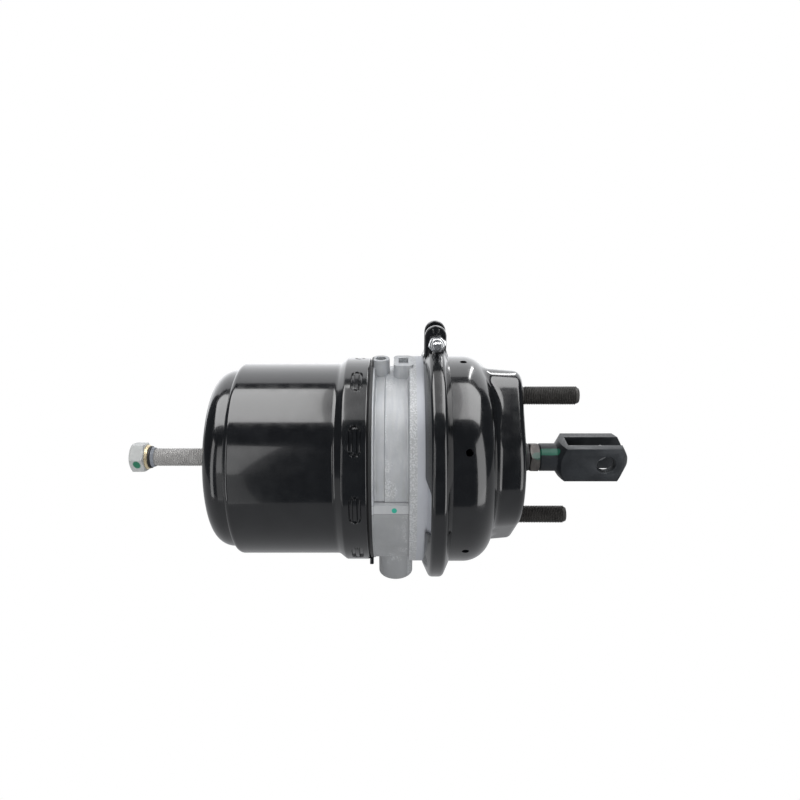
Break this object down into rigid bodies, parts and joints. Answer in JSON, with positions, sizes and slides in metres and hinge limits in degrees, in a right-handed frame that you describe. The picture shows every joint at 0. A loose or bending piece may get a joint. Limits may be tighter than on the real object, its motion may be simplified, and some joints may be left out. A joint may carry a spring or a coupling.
{
  "type": "air brake chamber",
  "caption": "Double air brake chamber with spring brake section, clamp ring, two mounting studs, push rod with clevis and wound-out release bolt.",
  "frame": {"origin": "centre of the mounting face, halfway between the two studs", "axes": "+X along the cylinder axis towards the clevis, +Z along the line of the two studs"},
  "size_m": [0.4429, 0.2092, 0.249],
  "materials": {
    "service_housing_paint": "gloss black paint on deep-drawn steel",
    "spring_housing_paint": "gloss black paint on deep-drawn steel",
    "clamp_ring_paint": "gloss black paint on pressed steel",
    "stud_black_oxide": "rolled thread with a dark phosphate coating",
    "clamp_bolt_zinc": "bright zinc plating",
    "cast_aluminium": "die-cast, dull, machined on its rims",
    "guide_plastic": "moulded bearing plastic",
    "seal_rubber": "moulded seal rubber",
    "diaphragm_rubber": "fabric-reinforced rubber",
    "pressed_steel": "plain pressed and turned steel",
    "rod_steel": "zinc-plated steel rod",
    "return_spring_steel": "oiled spring wire",
    "boot_rubber": "moulded rubber boot",
    "lock_nut_steel": "steel nut with a thin brownish phosphate coating",
    "clevis_steel": "forged steel, dark blue-grey, satin",
    "power_spring_paint": "coated spring steel",
    "piston_casting": "die-cast aluminium piston",
    "tube_steel": "ground and plated steel tube",
    "release_bolt_steel": "rolled thread, grey zinc coating",
    "release_nut_zinc": "light grey zinc plating with a green paint mark",
    "yellow_zinc": "yellow-passivated zinc",
    "ring_rubber": "black rubber ring",
    "collar_plastic": "moulded plastic cone"
  },
  "bodies": {
    "chamber": {"service_housing": "service_housing_paint", "mounting_stud_upper": "stud_black_oxide", "mounting_stud_lower": "stud_black_oxide", "clamp_ring": "clamp_ring_paint", "clamp_bolt": "clamp_bolt_zinc", "clamp_nut": "clamp_bolt_zinc", "intermediate_flange": "cast_aluminium", "guide_bush": "guide_plastic", "tube_seal": "seal_rubber", "housing_seal": "seal_rubber", "diaphragm": "diaphragm_rubber", "return_spring": "return_spring_steel", "rod_boot": "boot_rubber", "spring_housing": "spring_housing_paint", "release_bush": "pressed_steel", "power_spring": "power_spring_paint", "spring_piston": "piston_casting", "piston_guide_ring": "guide_plastic", "piston_seal": "seal_rubber", "piston_tube": "tube_steel", "tube_cap": "pressed_steel"},
    "rod": {"push_plate": "pressed_steel", "push_rod": "rod_steel", "lock_nut": "lock_nut_steel", "clevis": "clevis_steel"},
    "thrust": {"thrust_ring": "pressed_steel"},
    "screw": {"release_bolt": "release_bolt_steel", "release_nut": "release_nut_zinc", "release_washer": "yellow_zinc", "release_seal_ring": "ring_rubber", "release_collar": "collar_plastic"}
  },
  "joints": [
    {"name": "service_stroke", "type": "slide", "parent": "chamber", "child": "rod", "axis": [1, 0, 0], "range_m": [0, 0.064], "deforming": ["return_spring", "diaphragm"]},
    {"name": "release_travel", "type": "slide", "parent": "chamber", "child": "thrust", "axis": [1, 0, 0], "range_m": [0, 0.058]},
    {"name": "release_turn", "type": "hinge", "parent": "thrust", "child": "screw", "pos_m": [-0.3, 0, 0], "axis": [1, 0, 0], "range_deg": [0, 10440]}
  ],
  "couplings": [
    {"joint": "release_turn", "follows": "release_travel", "rad_per_m": 3141.6}
  ]
}
